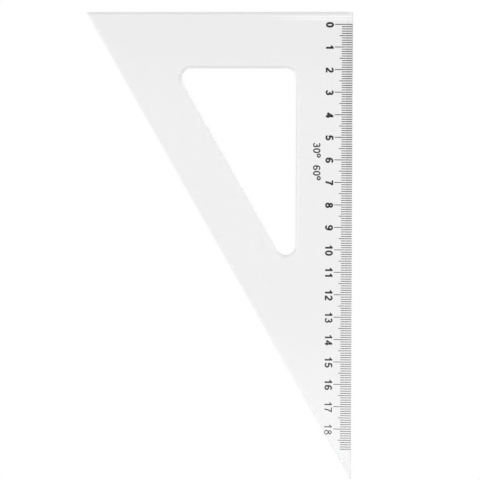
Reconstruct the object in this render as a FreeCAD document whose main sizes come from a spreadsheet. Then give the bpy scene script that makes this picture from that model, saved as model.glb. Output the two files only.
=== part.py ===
import FreeCAD, Part
import math
import os
from typing import NamedTuple

import Sketcher

# A 30/60/90 set square: one clear moulded plate with a triangular window, and a
# centimetre scale stamped in black film along the underside of its long leg.
# Every body is drawn from the right-angled corner: the short leg runs along -X,
# the long leg along -Y, and the plate rises from Z = 0. The bodies are then placed
# so that the document's origin is the middle of the plate's box, on its underside.

SIZES = {
    # outline
    "short_leg": 120.0,
    "tip_angle": 30.0,            # degrees, between the long leg and the hypotenuse
    "thickness": 2.0,
    # window: the width of plate left between each outer edge and the opening
    "short_band": 25.0,
    "long_band": 25.1,
    "slant_band": 22.0,
    "window_radius": 4.5,
    # long bevel that thins the plate towards the graduated edge
    "ruling_bevel": 2.8,
    "ruling_edge": 1.2,           # height of plate left at the graduated edge
    # narrow bevel along the other outer edges and round the window
    "rim_bevel": 1.3,
    "rim_drop": 0.6,
    # scale: how far its marks reach in is measured from the graduated edge
    "division": 1.0,
    "zero_offset": 5.5,           # from the short leg's edge to the zero mark
    "mark_inset": 0.2,
    "mark_width": 0.3,
    "millimetre_reach": 4.8,
    "half_reach": 5.8,
    "centimetre_reach": 7.9,
    "film": 0.05,                 # depth of the stamped film and of its seats
}

PER_CENTIMETRE = 10               # divisions in a centimetre
PER_HALF = 5                      # divisions in half a centimetre

LONG_LEG = "(Sizes.short_leg / tan(Sizes.tip_angle))"

# The scale stops before the first centimetre whose marks would run under the
# hypotenuse's bevel: its own mark, or the last millimetre mark that follows it.
ROOM_FOR_CENTIMETRE = (
    f"({LONG_LEG} - (Sizes.centimetre_reach + Sizes.rim_bevel) / tan(Sizes.tip_angle))"
)
ROOM_FOR_MILLIMETRES = (
    f"({LONG_LEG} - (Sizes.millimetre_reach + Sizes.rim_bevel) / tan(Sizes.tip_angle)"
    f" - {PER_CENTIMETRE - 1} * Sizes.division)"
)
CENTIMETRES = (
    f"(floor((min({ROOM_FOR_CENTIMETRE}; {ROOM_FOR_MILLIMETRES}) - Sizes.zero_offset)"
    f" / ({PER_CENTIMETRE} * Sizes.division)) + 1)"
)


class MarkFamily(NamedTuple):
    """Marks of one length, in equal groups down the scale."""
    node: str
    reach: str                    # the size that their inner ends come from
    first: int                    # divisions from the zero mark to the first mark
    marks: int                    # marks in a group, one division apart
    step: int                     # divisions from one group to the next
    groups: str                   # how many groups the scale has


MARK_FAMILIES = [
    MarkFamily("centimetre_lines", "centimetre_reach",
               0, 1, PER_CENTIMETRE, CENTIMETRES),
    MarkFamily("half_centimetre_lines", "half_reach",
               PER_HALF, 1, PER_CENTIMETRE, CENTIMETRES),
    MarkFamily("millimetre_lines", "millimetre_reach",
               1, PER_HALF - 1, PER_HALF, f"(2 * {CENTIMETRES})"),
]

doc = FreeCAD.newDocument("set_square")
sheet = doc.addObject("Spreadsheet::Sheet", "Sizes")
for row, (alias, value) in enumerate(SIZES.items(), start=1):
    sheet.set(f"A{row}", str(value))
    sheet.setAlias(f"A{row}", alias)
doc.recompute()


def size(alias):
    """A size as a number, for the first guess that a sketch is drawn with."""
    return float(sheet.get(alias))


def new_body(label):
    """A body whose right-angled corner lies at the plate's."""
    body = doc.addObject("PartDesign::Body", label)
    body.Label = label
    body.setExpression(".Placement.Base.x", "Sizes.short_leg / 2")
    body.setExpression(".Placement.Base.y", f"{LONG_LEG} / 2")
    return body


def new_sketch(body, name, plane_role):
    """A sketch on one of the body's own origin planes."""
    plane = next(p for p in body.Origin.OriginFeatures if p.Role == plane_role)
    sketch = body.newObject("Sketcher::SketchObject", name)
    sketch.AttachmentSupport = [(plane, "")]
    sketch.MapMode = "FlatFace"
    return sketch


def draw_loop(sketch, points):
    """A closed loop of lines through the points. Returns its first line's number."""
    first = sketch.GeometryCount
    count = len(points)
    for index in range(count):
        start = FreeCAD.Vector(*points[index], 0)
        end = FreeCAD.Vector(*points[(index + 1) % count], 0)
        sketch.addGeometry(Part.LineSegment(start, end), False)
    for index in range(count):
        following = first + (index + 1) % count
        sketch.addConstraint(
            Sketcher.Constraint("Coincident", first + index, 2, following, 1))
    return first


def bind(sketch, name, expression, *constraint):
    """A driving dimension of the sketch, tied to the sheet."""
    index = sketch.addConstraint(Sketcher.Constraint(*constraint))
    sketch.renameConstraint(index, name)
    sketch.setExpression(f"Constraints.{name}", expression)


def outline_sketch(body):
    """The plate's outline: corner, end of the short leg, tip."""
    short_leg = size("short_leg")
    long_leg = short_leg / math.tan(math.radians(size("tip_angle")))
    sketch = new_sketch(body, "outline", "XY_Plane")
    draw_loop(sketch, [(0, 0), (-short_leg, 0), (0, -long_leg)])
    sketch.addConstraint(Sketcher.Constraint("Coincident", 0, 1, -1, 1))
    sketch.addConstraint(Sketcher.Constraint("Horizontal", 0))
    sketch.addConstraint(Sketcher.Constraint("Vertical", 2))
    bind(sketch, "short_leg", "Sizes.short_leg", "Distance", 0, short_leg)
    bind(sketch, "long_leg", LONG_LEG, "Distance", 2, long_leg)
    return sketch


def window_sketch(body, outline):
    """The window's three sides, each parallel to an outer edge of the plate."""
    angle = math.radians(size("tip_angle"))
    right = -size("long_band")
    top = -size("short_band")
    slant = size("slant_band") - size("short_leg") * math.cos(angle)
    left_end = ((slant - top * math.sin(angle)) / math.cos(angle), top)
    low_end = (right, (slant - right * math.cos(angle)) / math.sin(angle))

    sketch = new_sketch(body, "window_outline", "XY_Plane")
    draw_loop(sketch, [(right, top), left_end, low_end])
    sketch.addExternal(outline.Name, "Edge2")
    hypotenuse = -3               # the first external edge of a sketch
    sketch.addConstraint(Sketcher.Constraint("Horizontal", 0))
    sketch.addConstraint(Sketcher.Constraint("Parallel", 1, hypotenuse))
    sketch.addConstraint(Sketcher.Constraint("Vertical", 2))
    bind(sketch, "short_band", "Sizes.short_band",
         "DistanceY", 0, 1, -1, 1, size("short_band"))
    bind(sketch, "long_band", "Sizes.long_band",
         "DistanceX", 0, 1, -1, 1, size("long_band"))
    bind(sketch, "slant_band", "Sizes.slant_band",
         "Distance", 1, 1, hypotenuse, size("slant_band"))
    return sketch


def ruling_section(body):
    """The wedge above the graduated edge, seen along the long leg."""
    top, edge, width = size("thickness"), size("ruling_edge"), size("ruling_bevel")
    sketch = new_sketch(body, "ruling_section", "XZ_Plane")
    draw_loop(sketch, [(0, edge), (0, top), (-width, top)])
    sketch.addConstraint(Sketcher.Constraint("PointOnObject", 0, 1, -2))
    sketch.addConstraint(Sketcher.Constraint("Vertical", 0))
    sketch.addConstraint(Sketcher.Constraint("Horizontal", 1))
    bind(sketch, "edge", "Sizes.ruling_edge", "DistanceY", -1, 1, 0, 1, edge)
    bind(sketch, "top", "Sizes.thickness", "DistanceY", -1, 1, 0, 2, top)
    bind(sketch, "width", "Sizes.ruling_bevel", "Distance", 1, width)
    return sketch


def marks_sketch(body, family):
    """One group of marks: thin rectangles reaching in from the graduated edge."""
    sketch = new_sketch(body, f"{family.node}_outline", "XY_Plane")
    inset, reach, width = size("mark_inset"), size(family.reach), size("mark_width")
    for mark in range(family.marks):
        divisions = family.first + mark
        high = -size("zero_offset") - divisions * size("division") + width / 2
        low = high - width
        line = draw_loop(
            sketch, [(-inset, high), (-reach, high), (-reach, low), (-inset, low)])
        for side, direction in enumerate(["Horizontal", "Vertical"] * 2):
            sketch.addConstraint(Sketcher.Constraint(direction, line + side))
        bind(sketch, f"inset_{mark}", "Sizes.mark_inset",
             "DistanceX", line, 1, -1, 1, inset)
        bind(sketch, f"reach_{mark}", f"Sizes.{family.reach}",
             "DistanceX", line, 2, -1, 1, reach)
        bind(sketch, f"width_{mark}", "Sizes.mark_width",
             "DistanceY", line + 2, 1, line, 1, width)
        bind(sketch, f"place_{mark}",
             f"Sizes.zero_offset + {divisions} * Sizes.division - Sizes.mark_width / 2",
             "DistanceY", line, 1, -1, 1, -high)
    return sketch


def add_marks(body, kind, family):
    """A family of marks down the scale: their seats as Pockets, or the film as Pads."""
    outline = marks_sketch(body, family)
    group = body.newObject(f"PartDesign::{kind}", f"{family.node}_{kind.lower()}")
    group.Profile = outline
    group.Type = "Length"
    group.Reversed = kind == "Pocket"     # both rise from the underside
    group.setExpression("Length", "Sizes.film")
    row = body.newObject("PartDesign::LinearPattern", f"{family.node}_row")
    row.Originals = [group]
    row.Direction = (outline, ["V_Axis"])
    row.Reversed = True                   # from the zero mark towards the tip
    row.Mode = "Spacing"
    row.setExpression("Offset", f"{family.step} * Sizes.division")
    row.setExpression("Occurrences", family.groups)
    body.Tip = row


def edges_where(feature, test):
    """The names of the feature's edges that pass a test."""
    edges = feature.Shape.Edges
    return [f"Edge{number}" for number, edge in enumerate(edges, start=1) if test(edge)]


def is_window_corner(edge):
    """An upright edge inside the outline."""
    upright = abs(edge.tangentAt(edge.FirstParameter).z) > 0.5
    middle = edge.CenterOfMass
    inside = middle.x < -size("long_band") / 2 and middle.y < -size("short_band") / 2
    return upright and inside


def is_rim(edge):
    """An edge of the top face, other than the one that the long bevel takes."""
    on_top = edge.BoundBox.ZMin > size("thickness") / 2
    on_long_leg = edge.BoundBox.XMin > -size("long_band") / 2
    return on_top and not on_long_leg


def build_plate():
    """The clear moulding, with the seats that the film is stamped into."""
    body = new_body("plate")
    outline = outline_sketch(body)
    blank = body.newObject("PartDesign::Pad", "blank")
    blank.Profile = outline
    blank.setExpression("Length", "Sizes.thickness")
    doc.recompute()

    window = body.newObject("PartDesign::Pocket", "window")
    window.Profile = window_sketch(body, outline)
    window.Type = "ThroughAll"
    window.Reversed = True                # upwards, through the plate
    doc.recompute()

    corners = body.newObject("PartDesign::Fillet", "window_corners")
    corners.Base = (window, edges_where(window, is_window_corner))
    corners.setExpression("Radius", "Sizes.window_radius")
    doc.recompute()

    rim = body.newObject("PartDesign::Chamfer", "rim_bevel")
    rim.Base = (corners, edges_where(corners, is_rim))
    rim.ChamferType = "Two distances"
    rim.FlipDirection = True              # Size lies on the top face, Size2 down the side
    rim.setExpression("Size", "Sizes.rim_bevel")
    rim.setExpression("Size2", "Sizes.rim_drop")

    ruling = body.newObject("PartDesign::Pocket", "ruling_bevel")
    ruling.Profile = ruling_section(body)
    ruling.Type = "ThroughAll"
    ruling.Reversed = True                # towards the tip

    for family in MARK_FAMILIES:
        add_marks(body, "Pocket", family)
    return body


def build_film(family):
    """One family of marks: slips of black film, flush with the underside."""
    body = new_body(family.node)
    body.AllowCompound = True             # the marks are separate solids
    add_marks(body, "Pad", family)
    return body


def check_document(bodies):
    """Stops at a failed feature, a cut that removes nothing, or a bad shape."""
    least_cut = size("film") * size("mark_width") ** 2
    for item in doc.Objects:
        if "Invalid" in item.State or "Error" in item.State:
            raise RuntimeError(f"{item.Label} failed: {item.State}")
        if item.isDerivedFrom("PartDesign::Pocket"):
            if item.BaseFeature.Shape.Volume - item.Shape.Volume < least_cut:
                raise RuntimeError(f"{item.Label} cuts nothing")
    for body in bodies:
        if body.Shape.isNull() or not body.Shape.isValid():
            raise RuntimeError(f"{body.Label} has no valid shape")


bodies = [build_plate()]
for family in MARK_FAMILIES:
    bodies.append(build_film(family))
doc.recompute()
check_document(bodies)

os.makedirs("parts", exist_ok=True)
for body in bodies:
    body.Shape.exportStep(os.path.join("parts", f"{body.Label}.step"))
    print(body.Label, len(body.Shape.Solids), "solids,", round(body.Shape.Volume, 4), "mm3")
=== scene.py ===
import math

import bpy
from mathutils import Matrix, Vector


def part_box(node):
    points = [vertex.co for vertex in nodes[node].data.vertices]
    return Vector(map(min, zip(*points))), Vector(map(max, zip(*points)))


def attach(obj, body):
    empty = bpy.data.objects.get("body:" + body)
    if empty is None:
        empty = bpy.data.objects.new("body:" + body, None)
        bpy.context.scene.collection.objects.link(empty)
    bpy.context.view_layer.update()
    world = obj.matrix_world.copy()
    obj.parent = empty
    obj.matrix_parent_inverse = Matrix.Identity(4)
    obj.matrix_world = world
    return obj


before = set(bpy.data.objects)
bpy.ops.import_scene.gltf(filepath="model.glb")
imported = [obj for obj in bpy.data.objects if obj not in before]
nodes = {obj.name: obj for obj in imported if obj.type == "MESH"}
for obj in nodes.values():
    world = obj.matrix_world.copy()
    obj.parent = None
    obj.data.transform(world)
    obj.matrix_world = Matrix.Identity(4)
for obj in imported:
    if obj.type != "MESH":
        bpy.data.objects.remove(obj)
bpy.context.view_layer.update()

MM = 0.001

# The photograph's frame and the camera that took it
IMAGE_PX = 480
PX_PER_MM = 2.2374                     # on the plate, at the middle of the image
SENSOR = 36                            # millimetres, as Blender gives a sensor and a lens
CAMERA_DISTANCE = 1.3
CAMERA_REACH = 20                      # farthest thing that it sees
LEAN = (math.radians(8.62), math.radians(2.90))  # off the vertical, towards +X and towards +Y
ROLL = math.radians(0.18)
VIEW_CENTRE = Vector((9.72 * MM, 2.31 * MM, 0))

# The plate's two bevels, each by its drop over its width, and how far each still faces up
RIM_SLOPE = 0.6 / 1.3
RULING_SLOPE = 0.8 / 2.8
RIM_UP = math.cos(math.atan(RIM_SLOPE))
RULING_UP = math.cos(math.atan(RULING_SLOPE))

# Clear plastic: how clear and how shaded a face is by how far it faces up. The walls and the bevels are
# darker, as painted shade for the dark bands along the edges; they are also scuffed, and the flats are
# polished
TINTS_AND_PAINTED_SHADE = {0.0: 0.74, RIM_UP - 0.11: 0.74, RIM_UP - 0.03: 0.735, RIM_UP + 0.02: 0.735,
         RULING_UP - 0.01: 0.84, RULING_UP + 0.01: 0.84, RULING_UP + 0.03: 0.955}
TINT_BLUE = 1.004                      # blue passes a little better than red and green
WORN_UP = (RIM_UP + 0.05, RIM_UP - 0.30)  # facing up this much: where wear begins and is full
WORN_ROUGHNESS = 0.25
POLISH = (0.01, 0.04)                  # least and most roughness of the polished flats

# Hairlines are scratches from sliding on paper
HAIRLINE_TURNS = (17, 74, 131)         # their directions in degrees
HAIRLINE_SCALE = 1500.0                # across the scratches
HAIRLINE_STRETCH = 0.02                # along them, as a share of that
HAIRLINE_RANGE = (0.66, 0.76)          # the part of the noise that makes a scratch
HAIRLINE_ROUGHNESS = 0.08

# Moulding ripples lie in the plate beside the short edge, strongest near the graduated edge
RIPPLE = 1.35 * MM                     # from one ripple to the next
RIPPLE_HEIGHT = 0.024 * MM
RIPPLES_BEGIN = 1.4 * MM               # from the short edge
RIPPLES_END = 4.6 * MM
RIPPLES_RISE = 0.3 * MM
RIPPLES_FULL = 18 * MM                 # from the graduated edge, up to where they are full
RIPPLES_GONE = 46 * MM

# Creases of the plate
CREASE_TURN = 12                       # degrees between two faces that make a crease
RIM_TURN = 20                          # degrees between two faces that make a rim's crease
CREASE_ROUNDING = 0.22 * MM
RIM_ROUNDING = 0.5                     # as a share of that
CREASE_SEGMENTS = 4
CREASE_LEVEL = 0.9 * MM                # an edge that climbs more than this is a corner's
CREASE_ABOVE = 1 * MM                  # the underside's edges stay sharp
SAME_POINT = 0.001 * MM

# Print: signs are drawn with a pen, one unit high
NUMERAL_HEIGHT = 3.35 * MM
NUMERAL_FROM_EDGE = 10.15 * MM         # middle of the numerals, from the graduated edge
NUMERAL_DOWN = 0.2 * MM                # middle of the numerals, below their line
LAST_NUMERAL = 18
ANGLE_MARK_HEIGHT = 3.3 * MM
ANGLE_MARK_FROM_EDGE = 15.8 * MM
ANGLE_MARK_DOWN = 66.5 * MM            # from the short edge
ADVANCE = 0.76                         # from one sign to the next
PEN = (0.27, 0.225)                    # thickness of the upright and of the level strokes
THIN_PEN = (0.19, 0.16)
WORN_PENS = {10: 0.90, 13: 0.79, 17: 0.60, 18: 0.50}  # from that numeral on, the print is thinner
CLOSED = 1e-6                          # a stroke whose ends are nearer than this is a ring
FILM = (0.012 * MM, 0.045 * MM)        # underside and top of the printed film
ZERO_OFFSET = 5.5 * MM                 # from the short edge to the zero mark
MILLIMETRE = 1 * MM
CENTIMETRE = 10 * MM
SQUEEZE = 0.028 * MM                   # the first marks are this much wider on each side
SQUEEZED = (45 * MM, 100 * MM)         # down the scale, where that starts to fade and where it ends

# The floor, just under the plate
FLOOR_HALF = 3.0
FLOOR_HEIGHT = -0.1 * MM
FLOOR_WHITE = 0.91                     # how much of it is plain white where it is looked at
PAPER = (0.95, 0.95, 0.95, 1)

# The studio is a white dome with dark flags and soft panels in it. Each is a range of the sine of
# the angle off the vertical: where it begins and is full, and where it fades and ends, in X and in Y
DOME = 1.2
SHADED = 0.20
HORIZON = 0.02                         # half the height of the border between dome and ground
FLAGS = {
    "over_the_plate": ((-0.50, -0.42, 0.47, 0.53), (-0.80, -0.69, 0.06, 0.12)),
    "over_the_ripples": ((-0.38, -0.32, 0.04, 0.10), (0.00, 0.06, 0.14, 0.24)),
    "behind": ((-0.38, -0.32, 0.04, 0.10), (0.50, 0.56, 0.88, 0.95)),
}
PANELS = {
    "overhead": ((-0.50, -0.40, 0.22, 0.36), (-0.60, -0.50, -0.01, 0.04), 0.50),
    "strip": ((0.08, 0.12, 0.27, 0.31), (-0.30, -0.25, 0.06, 0.10), 2.2),
    "front": ((-0.50, -0.40, 0.22, 0.36), (-0.60, -0.48, -0.17, -0.02), 1.5),
    "low": ((0.36, 0.40, 0.50, 0.56), (-0.34, -0.26, -0.16, 0.02), 2.7),
    "left": ((-0.96, -0.90, -0.70, -0.56), (-0.60, -0.52, 0.06, 0.14), 2.3),
    "right": ((0.40, 0.46, 0.66, 0.76), (0.14, 0.22, 0.50, 0.58), 1.9),
    "low_left": ((-0.96, -0.90, -0.70, -0.56), (-0.60, -0.54, -0.46, -0.30), 2.9),
}
THROUGH_THE_PLATE = 3.5                # a ray that crossed both faces has a lower ray depth
LIGHT_BOUNCES = 32                     # light crosses the plate between its faces many times


# ---------------------------------------------------------------- nodes

def new_tree(data):
    """An empty node tree for a material or a world."""
    data.use_nodes = True
    data.node_tree.nodes.clear()
    return data.node_tree


def add_node(tree, kind, inputs=None, **settings):
    """A node whose inputs are set to values or linked to other nodes' outputs."""
    node = tree.nodes.new(kind)
    for key, value in settings.items():
        setattr(node, key, value)
    for key, value in (inputs or {}).items():
        if isinstance(value, bpy.types.NodeSocket):
            tree.links.new(value, node.inputs[key])
        else:
            node.inputs[key].default_value = value
    return node


def noise(tree, where, scale, detail=2.0, roughness=0.5):
    """Noise from about 0.25 to 0.75."""
    return add_node(tree, "ShaderNodeTexNoise", {
        "Vector": where, "Scale": scale, "Detail": detail, "Roughness": roughness}).outputs["Fac"]


def spread(tree, value, low, high):
    """Noise spread over a range."""
    return add_node(tree, "ShaderNodeMapRange", {
        "Value": value, "From Min": 0.25, "From Max": 0.75, "To Min": low, "To Max": high}).outputs[0]


def fade(tree, value, start, end):
    """0 before the start and 1 after the end, with a soft step between them."""
    return add_node(tree, "ShaderNodeMapRange", {
        "Value": value, "From Min": start, "From Max": end}, interpolation_type="SMOOTHSTEP").outputs[0]


def calculate(tree, operation, *values):
    """One step of arithmetic."""
    return add_node(tree, "ShaderNodeMath", dict(enumerate(values)), operation=operation).outputs[0]


# ---------------------------------------------------------------- materials

def ripples(tree, where, high):
    """Moulding ripples beside the short edge, strongest near the graduated edge."""
    x, y, _ = add_node(tree, "ShaderNodeSeparateXYZ", {0: where}).outputs
    inward = calculate(tree, "SUBTRACT", high.y, y)
    wave = calculate(tree, "SINE", calculate(tree, "MULTIPLY", inward, math.tau / RIPPLE))
    for value, start, end in ((inward, RIPPLES_END, RIPPLES_END - RIPPLE),
                              (inward, RIPPLES_BEGIN, RIPPLES_BEGIN + RIPPLES_RISE),
                              (x, high.x - RIPPLES_GONE, high.x - RIPPLES_FULL)):
        wave = calculate(tree, "MULTIPLY", wave, fade(tree, value, start, end))
    return wave


def hairlines(tree, where):
    """Added roughness of fine scratches, along three directions."""
    least, most = HAIRLINE_RANGE
    total = None
    for turn in HAIRLINE_TURNS:
        along = add_node(tree, "ShaderNodeMapping", {
            "Vector": where, "Rotation": (0, 0, math.radians(turn)),
            "Scale": (1, HAIRLINE_STRETCH, 1)}).outputs[0]
        lines = add_node(tree, "ShaderNodeMapRange", {
            "Value": noise(tree, along, HAIRLINE_SCALE, detail=1.0), "From Min": least, "From Max": most,
            "To Min": 0.0, "To Max": HAIRLINE_ROUGHNESS}).outputs[0]
        total = lines if total is None else calculate(tree, "MAXIMUM", total, lines)
    return total


def clear_plastic(high):
    """Clear polystyrene, scuffed on its bevels and walls, which are also darkened with painted shade."""
    material = bpy.data.materials.new("clear_polystyrene")
    tree = new_tree(material)
    where = add_node(tree, "ShaderNodeTexCoord").outputs["Object"]
    facing = add_node(tree, "ShaderNodeNewGeometry").outputs["True Normal"]
    up = add_node(tree, "ShaderNodeSeparateXYZ", {0: facing}).outputs["Z"]
    level = calculate(tree, "ABSOLUTE", up)
    # the darker walls and bevels in this ramp are painted shade; only the flats' tint is the plastic's own
    tint_and_shade = add_node(tree, "ShaderNodeValToRGB", {"Fac": level})
    shades = tint_and_shade.color_ramp.elements
    for place in list(TINTS_AND_PAINTED_SHADE)[1:-1]:
        shades.new(place)
    for shade, (place, light) in zip(shades, TINTS_AND_PAINTED_SHADE.items()):
        shade.position = place
        shade.color = (light, light, light * TINT_BLUE, 1)
    begins, full = WORN_UP
    worn = add_node(tree, "ShaderNodeMapRange", {
        "Value": level, "From Min": begins, "From Max": full,
        "To Min": 0.0, "To Max": WORN_ROUGHNESS}).outputs[0]
    polish = calculate(tree, "MAXIMUM", spread(tree, noise(tree, where, 900.0), *POLISH), worn)
    polish = calculate(tree, "ADD", polish, hairlines(tree, where))
    waviness = add_node(tree, "ShaderNodeBump", {
        "Strength": 0.05, "Distance": 0.02 * MM, "Height": noise(tree, where, 60.0)}).outputs[0]
    bump = add_node(tree, "ShaderNodeBump", {
        "Strength": 1.0, "Distance": RIPPLE_HEIGHT, "Height": ripples(tree, where, high),
        "Normal": waviness}).outputs[0]
    glass = add_node(tree, "ShaderNodeBsdfPrincipled", {
        "Base Color": tint_and_shade.outputs[0], "IOR": 1.59, "Transmission Weight": 1.0,
        "Roughness": polish, "Normal": bump})
    depth = add_node(tree, "ShaderNodeVolumeAbsorption", {"Color": (0.88, 0.91, 0.91, 1), "Density": 12.0})
    add_node(tree, "ShaderNodeOutputMaterial", {"Surface": glass.outputs[0], "Volume": depth.outputs[0]})
    return material


def black_film():
    """Stamped black film, slightly uneven."""
    material = bpy.data.materials.new("black_film")
    tree = new_tree(material)
    where = add_node(tree, "ShaderNodeTexCoord").outputs["Object"]
    density = noise(tree, where, 6000.0, detail=3.0)
    ink = add_node(tree, "ShaderNodeValToRGB", {"Fac": density})
    ink.color_ramp.elements[0].color = (0.004, 0.004, 0.005, 1)
    ink.color_ramp.elements[1].color = (0.014, 0.014, 0.015, 1)
    bump = add_node(tree, "ShaderNodeBump", {
        "Strength": 0.3, "Distance": 0.01 * MM, "Height": density}).outputs[0]
    film = add_node(tree, "ShaderNodeBsdfPrincipled", {
        "Base Color": ink.outputs[0], "Roughness": spread(tree, density, 0.4, 0.6), "Normal": bump})
    add_node(tree, "ShaderNodeOutputMaterial", {"Surface": film.outputs[0]})
    return material


# ---------------------------------------------------------------- signs

def arc(centre, radii, start, end, steps=20):
    """Points of an ellipse from one angle to another, in degrees."""
    angles = [math.radians(start + (end - start) * i / steps) for i in range(steps + 1)]
    return [(centre[0] + radii[0] * math.cos(a), centre[1] + radii[1] * math.sin(a)) for a in angles]


def bend(a, b, c, steps=10):
    """Points of a curve from a to c that is drawn towards b."""
    ts = [i / steps for i in range(steps + 1)]
    return [tuple((1 - t) ** 2 * p + 2 * t * (1 - t) * q + t * t * r for p, q, r in zip(a, b, c))
            for t in ts]


def pen_strokes():
    """Each sign as a list of pen strokes; the pen's middle follows the points."""
    six = [arc((0.385, 0.305), (0.232, 0.23), 0, 360, 40),
           arc((0.43, 0.50), (0.28, 0.425), 42, 195)]
    return {
        "0": [arc((0.38, 0.5), (0.24, 0.425), 0, 360, 48)],
        "1": [[(0.43, 0.0), (0.43, 1.0)], bend((0.42, 0.92), (0.32, 0.74), (0.13, 0.695))],
        "2": [arc((0.375, 0.695), (0.228, 0.23), 168, -28)
              + bend((0.575, 0.585), (0.50, 0.44), (0.30, 0.29))
              + bend((0.28, 0.27), (0.18, 0.18), (0.15, 0.08)),
              [(0.07, 0.075), (0.70, 0.075)]],
        "3": [arc((0.365, 0.72), (0.205, 0.205), 160, -90), arc((0.37, 0.295), (0.235, 0.22), 90, -165),
              [(0.29, 0.515), (0.40, 0.515)]],
        "4": [[(0.53, 0.0), (0.53, 1.0)], [(0.03, 0.29), (0.74, 0.29)], [(0.12, 0.27), (0.50, 0.92)]],
        "5": [[(0.19, 0.925), (0.67, 0.925)], [(0.235, 0.93), (0.175, 0.49)],
              [(0.16, 0.49)] + arc((0.37, 0.32), (0.24, 0.245), 140, -162)],
        "6": six,
        "7": [[(0.06, 0.92), (0.70, 0.92)], bend((0.63, 0.91), (0.36, 0.62), (0.29, 0.0))],
        "8": [arc((0.38, 0.735), (0.195, 0.19), 0, 360, 36), arc((0.38, 0.29), (0.235, 0.215), 0, 360, 40)],
        "9": [[(ADVANCE - x, 1 - y) for x, y in stroke] for stroke in six],
        " ": [],
        "\N{DEGREE SIGN}": [arc((0.28, 0.78), (0.20, 0.20), 0, 360, 24)],
    }


STROKES = pen_strokes()


def sweep(points, pen, vertices, faces):
    """One pen stroke as a thin solid with square ends, or a ring when it closes."""
    closed = math.dist(points[0], points[-1]) < CLOSED
    if closed:
        points = points[:-1]
    count = len(points)
    first = len(vertices)
    for i, (x, y) in enumerate(points):
        before = points[i - 1] if closed or i else points[0]
        after = points[(i + 1) % count] if closed or i < count - 1 else points[-1]
        along = Vector((after[0] - before[0], after[1] - before[1])).normalized()
        nx, ny = -along.y, along.x
        half_x, half_y = pen[0] / 2, pen[1] / 2
        reach = math.hypot(half_x * nx, half_y * ny)
        dx, dy = half_x ** 2 * nx / reach, half_y ** 2 * ny / reach
        for side in (1, -1):
            for z in FILM:
                vertices.append((x + side * dx, y + side * dy, z))
    for i in range(count if closed else count - 1):
        a, b = first + 4 * i, first + 4 * ((i + 1) % count)
        faces += [(a + 1, b + 1, b + 3, a + 3), (a, a + 2, b + 2, b),
                  (a, b, b + 1, a + 1), (a + 2, a + 3, b + 3, b + 2)]
    if not closed:
        last = first + 4 * (count - 1)
        faces += [(first, first + 1, first + 3, first + 2), (last, last + 2, last + 3, last + 1)]


def make_sign(name, text, height, middle, material, pen):
    """Printed signs, centred on a point, with their tops towards +X."""
    vertices, faces = [], []
    for position, character in enumerate(text):
        start = len(vertices)
        for stroke in STROKES[character]:
            sweep(stroke, pen, vertices, faces)
        offset = ADVANCE * (position - (len(text) - 1) / 2) - ADVANCE / 2
        vertices[start:] = [((y - 0.5) * height, -(x + offset) * height, z)
                            for x, y, z in vertices[start:]]
    mesh = bpy.data.meshes.new(name)
    mesh.from_pydata(vertices, [], faces)
    mesh.materials.append(material)
    sign = bpy.data.objects.new(name, mesh)
    bpy.context.scene.collection.objects.link(sign)
    sign.location = middle
    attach(sign, "root")


# ---------------------------------------------------------------- plate and marks

def round_creases(plate):
    """A moulded plate has no sharp creases on top: they are rolled, and the rims' by half as much."""
    mesh = plate.data
    spot = [tuple(round(c / SAME_POINT) for c in v.co) for v in mesh.vertices]
    beside = {}
    for face in mesh.polygons:
        for a, b in face.edge_keys:
            beside.setdefault(frozenset((spot[a], spot[b])), []).append(face.normal.copy())
    weight = mesh.attributes.new("bevel_weight_edge", "FLOAT", "EDGE")
    for i, edge in enumerate(mesh.edges):
        a, b = (mesh.vertices[v].co for v in edge.vertices)
        normals = beside[frozenset(spot[v] for v in edge.vertices)]
        turn = math.degrees(normals[0].angle(normals[-1]))
        level = abs(a.z - b.z) < CREASE_LEVEL
        if turn > CREASE_TURN and level and max(a.z, b.z) > CREASE_ABOVE:
            weight.data[i].value = 1.0 if turn < RIM_TURN else RIM_ROUNDING
    weld = plate.modifiers.new("weld", "WELD")
    weld.merge_threshold = SAME_POINT
    rounding = plate.modifiers.new("rolled_edges", "BEVEL")
    rounding.limit_method = "WEIGHT"
    rounding.width = CREASE_ROUNDING
    rounding.segments = CREASE_SEGMENTS


def press_marks(marks, high):
    """The stamp pressed harder at the start of the scale, so the first marks are a little wider."""
    fading, end = SQUEEZED
    for side in (1, -1):
        border = marks.vertex_groups.new(name=f"border_{side}")
        for i, vertex in enumerate(marks.data.vertices):
            down = high.y - ZERO_OFFSET - vertex.co.y
            middle = round(down / MILLIMETRE) * MILLIMETRE
            share = min(1.0, max(0.0, (end - down) / (end - fading)))
            if (middle - down) * side > 0:
                border.add([i], share, "REPLACE")
        squeeze = marks.modifiers.new(f"squeezed_{side}", "DISPLACE")
        squeeze.direction = "Y"
        squeeze.mid_level = 0.0
        squeeze.strength = side * SQUEEZE
        squeeze.vertex_group = border.name


def dress(piece, material):
    """One material all over a CAD node."""
    piece.data.materials.clear()
    piece.data.materials.append(material)


# ---------------------------------------------------------------- studio

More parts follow.
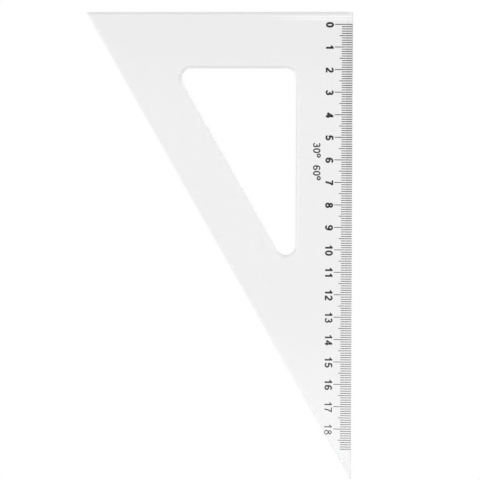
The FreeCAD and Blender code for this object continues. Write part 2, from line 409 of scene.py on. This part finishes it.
def make_floor():
    """A pale sweep that takes the plate's shadow, and isn't there from below."""
    corners = [(x, y, FLOOR_HEIGHT) for x, y in ((-FLOOR_HALF, -FLOOR_HALF), (FLOOR_HALF, -FLOOR_HALF),
                                                 (FLOOR_HALF, FLOOR_HALF), (-FLOOR_HALF, FLOOR_HALF))]
    mesh = bpy.data.meshes.new("floor")
    mesh.from_pydata(corners, [], [(0, 1, 2, 3)])
    floor = bpy.data.objects.new("floor", mesh)
    bpy.context.scene.collection.objects.link(floor)
    material = bpy.data.materials.new("white_sweep")
    tree = new_tree(material)
    path = add_node(tree, "ShaderNodeLightPath").outputs
    seen = calculate(tree, "MAXIMUM", path["Is Camera Ray"], path["Is Glossy Ray"])
    seen = calculate(tree, "MAXIMUM", seen, path["Is Transmission Ray"])
    paper = add_node(tree, "ShaderNodeBsdfDiffuse", {"Color": PAPER}).outputs[0]
    white = add_node(tree, "ShaderNodeEmission", {"Strength": 1.0}).outputs[0]
    shown = add_node(tree, "ShaderNodeMixShader", {
        0: calculate(tree, "MULTIPLY", seen, FLOOR_WHITE), 1: paper, 2: white}).outputs[0]
    nothing = add_node(tree, "ShaderNodeBsdfTransparent").outputs[0]
    behind = add_node(tree, "ShaderNodeNewGeometry").outputs["Backfacing"]
    surface = add_node(tree, "ShaderNodeMixShader", {0: behind, 1: shown, 2: nothing}).outputs[0]
    add_node(tree, "ShaderNodeOutputMaterial", {"Surface": surface})
    mesh.materials.append(material)


def box(tree, x, y, across, along):
    """1 inside a range of directions and 0 outside it, with soft borders."""
    inside = None
    for axis, (begin, full, fading, end) in ((x, across), (y, along)):
        for border in (fade(tree, axis, begin, full), fade(tree, axis, end, fading)):
            inside = border if inside is None else calculate(tree, "MULTIPLY", inside, border)
    return inside


def make_world():
    """The dome with its flags and panels, which the camera sees as plain white."""
    world = bpy.data.worlds.new("studio")
    bpy.context.scene.world = world
    tree = new_tree(world)
    direction = add_node(tree, "ShaderNodeTexCoord").outputs["Generated"]
    x, y, z = add_node(tree, "ShaderNodeSeparateXYZ", {0: direction}).outputs
    level = DOME
    for across, along in FLAGS.values():
        open_part = calculate(tree, "SUBTRACT", 1.0, box(tree, x, y, across, along))
        level = calculate(tree, "MULTIPLY", level, open_part)
    level = calculate(tree, "MAXIMUM", level, SHADED)
    for across, along, strength in PANELS.values():
        panel = calculate(tree, "MULTIPLY", box(tree, x, y, across, along), strength)
        level = calculate(tree, "MAXIMUM", panel, level)
    above = calculate(tree, "MULTIPLY", level, fade(tree, z, -HORIZON, HORIZON))
    below = calculate(tree, "MULTIPLY", fade(tree, z, HORIZON, -HORIZON), SHADED)
    level = calculate(tree, "MAXIMUM", above, below)
    path = add_node(tree, "ShaderNodeLightPath").outputs
    through = calculate(tree, "MULTIPLY", path["Is Transmission Ray"],
                        calculate(tree, "LESS_THAN", path["Ray Depth"], THROUGH_THE_PLATE))
    seen = calculate(tree, "MAXIMUM", path["Is Camera Ray"], through)
    level = calculate(tree, "MULTIPLY_ADD", level, calculate(tree, "SUBTRACT", 1.0, seen), seen)
    air = add_node(tree, "ShaderNodeBackground", {"Color": (1, 1, 1, 1), "Strength": level}).outputs[0]
    add_node(tree, "ShaderNodeOutputWorld", {"Surface": air})


def make_camera():
    """The photograph's camera, over the plate, with a slight lean and roll."""
    data = bpy.data.cameras.new("camera")
    data.sensor_width = SENSOR
    data.lens = data.sensor_width * CAMERA_DISTANCE / (IMAGE_PX / PX_PER_MM * MM)
    data.clip_end = CAMERA_REACH
    camera = bpy.data.objects.new("camera", data)
    bpy.context.scene.collection.objects.link(camera)
    lean_x, lean_y = LEAN
    back = Vector((math.sin(lean_x) * math.cos(lean_y), math.sin(lean_y),
                   math.cos(lean_x) * math.cos(lean_y)))
    camera.location = VIEW_CENTRE + CAMERA_DISTANCE * back
    right = Vector((0, 1, 0)).cross(back).normalized()
    upright = Matrix((right, back.cross(right), back)).transposed()
    camera.rotation_euler = (upright @ Matrix.Rotation(ROLL, 3, "Z")).to_euler()
    bpy.context.scene.camera = camera


# ---------------------------------------------------------------- scene

_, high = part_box("plate")
plastic = clear_plastic(high)
film = black_film()
round_creases(nodes["plate"])
dress(nodes["plate"], plastic)
for name in ("centimetre_lines", "half_centimetre_lines", "millimetre_lines"):
    press_marks(nodes[name], high)
    dress(nodes[name], film)

for number in range(LAST_NUMERAL + 1):
    line = high.y - ZERO_OFFSET - number * CENTIMETRE
    wear = min([share for first, share in WORN_PENS.items() if first <= number], default=1.0)
    make_sign(f"numeral_{number}", str(number), NUMERAL_HEIGHT,
              (high.x - NUMERAL_FROM_EDGE, line - NUMERAL_DOWN, 0), film, [w * wear for w in PEN])
make_sign("angle_mark", "30\N{DEGREE SIGN} 60\N{DEGREE SIGN}", ANGLE_MARK_HEIGHT,
          (high.x - ANGLE_MARK_FROM_EDGE, high.y - ANGLE_MARK_DOWN, 0), film, THIN_PEN)

make_floor()
make_world()
make_camera()
bpy.context.scene.view_settings.view_transform = "Standard"
for kind in ("max_bounces", "glossy_bounces", "transmission_bounces"):
    setattr(bpy.context.scene.cycles, kind, LIGHT_BOUNCES)
